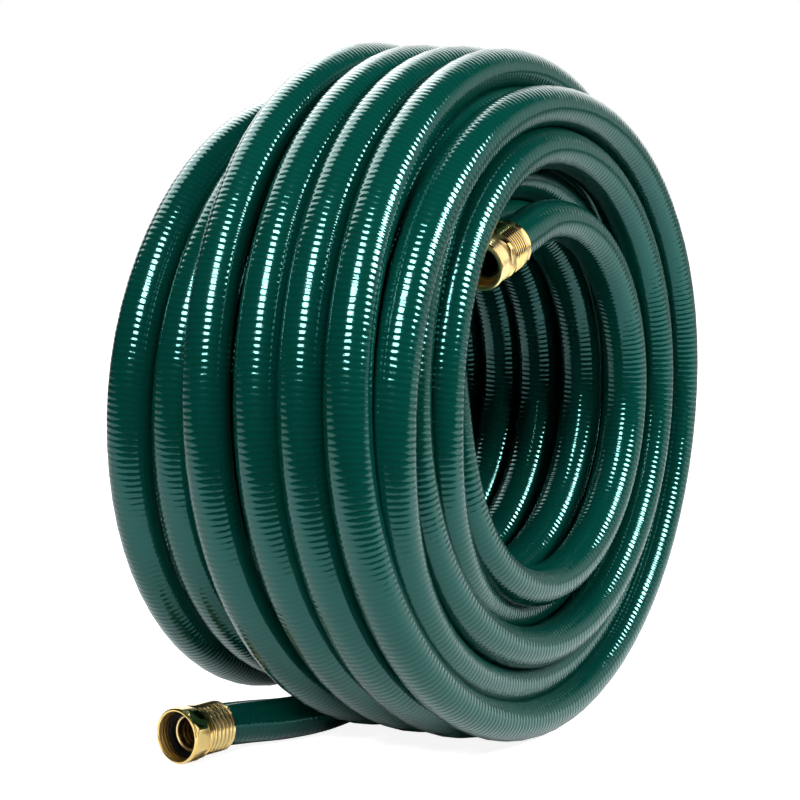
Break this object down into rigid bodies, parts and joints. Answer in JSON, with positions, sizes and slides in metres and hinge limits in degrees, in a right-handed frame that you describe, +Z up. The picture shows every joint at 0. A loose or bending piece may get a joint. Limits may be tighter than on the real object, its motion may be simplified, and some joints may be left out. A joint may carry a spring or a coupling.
{
  "type": "coiled garden hose",
  "caption": "Garden hose wound into a round coil that stands on its turns, with a female coupling with a swivel nut on its outer end and a male coupling on its inner end.",
  "frame": {"origin": "on the floor, under the middle of the part's box; the coil's axis passes above it", "axes": "+X along the coil's axis towards its open face, +Z up, and the outer end lies on the floor towards -Y"},
  "size_m": [0.1864, 0.3664, 0.3665],
  "materials": {
    "green_vinyl": "glossy, with fine ribs across the hose",
    "brass": "polished",
    "black_rubber": "matt"
  },
  "bodies": {
    "hose": {"hose_coil": "green_vinyl", "hose_inner_end": "green_vinyl", "hose_outer_end": "green_vinyl", "female_ferrule": "brass", "female_stem": "brass", "male_ferrule": "brass", "male_nipple": "brass"},
    "swivel_nut": {"swivel_nut": "brass", "hose_washer": "black_rubber"}
  },
  "joints": [
    {"name": "nut_swivel", "type": "hinge", "parent": "hose", "child": "swivel_nut", "pos_m": [-0.05735, -0.13958, 0.01485], "axis": [-0.13, -0.9911, 0.03], "continuous": true}
  ]
}
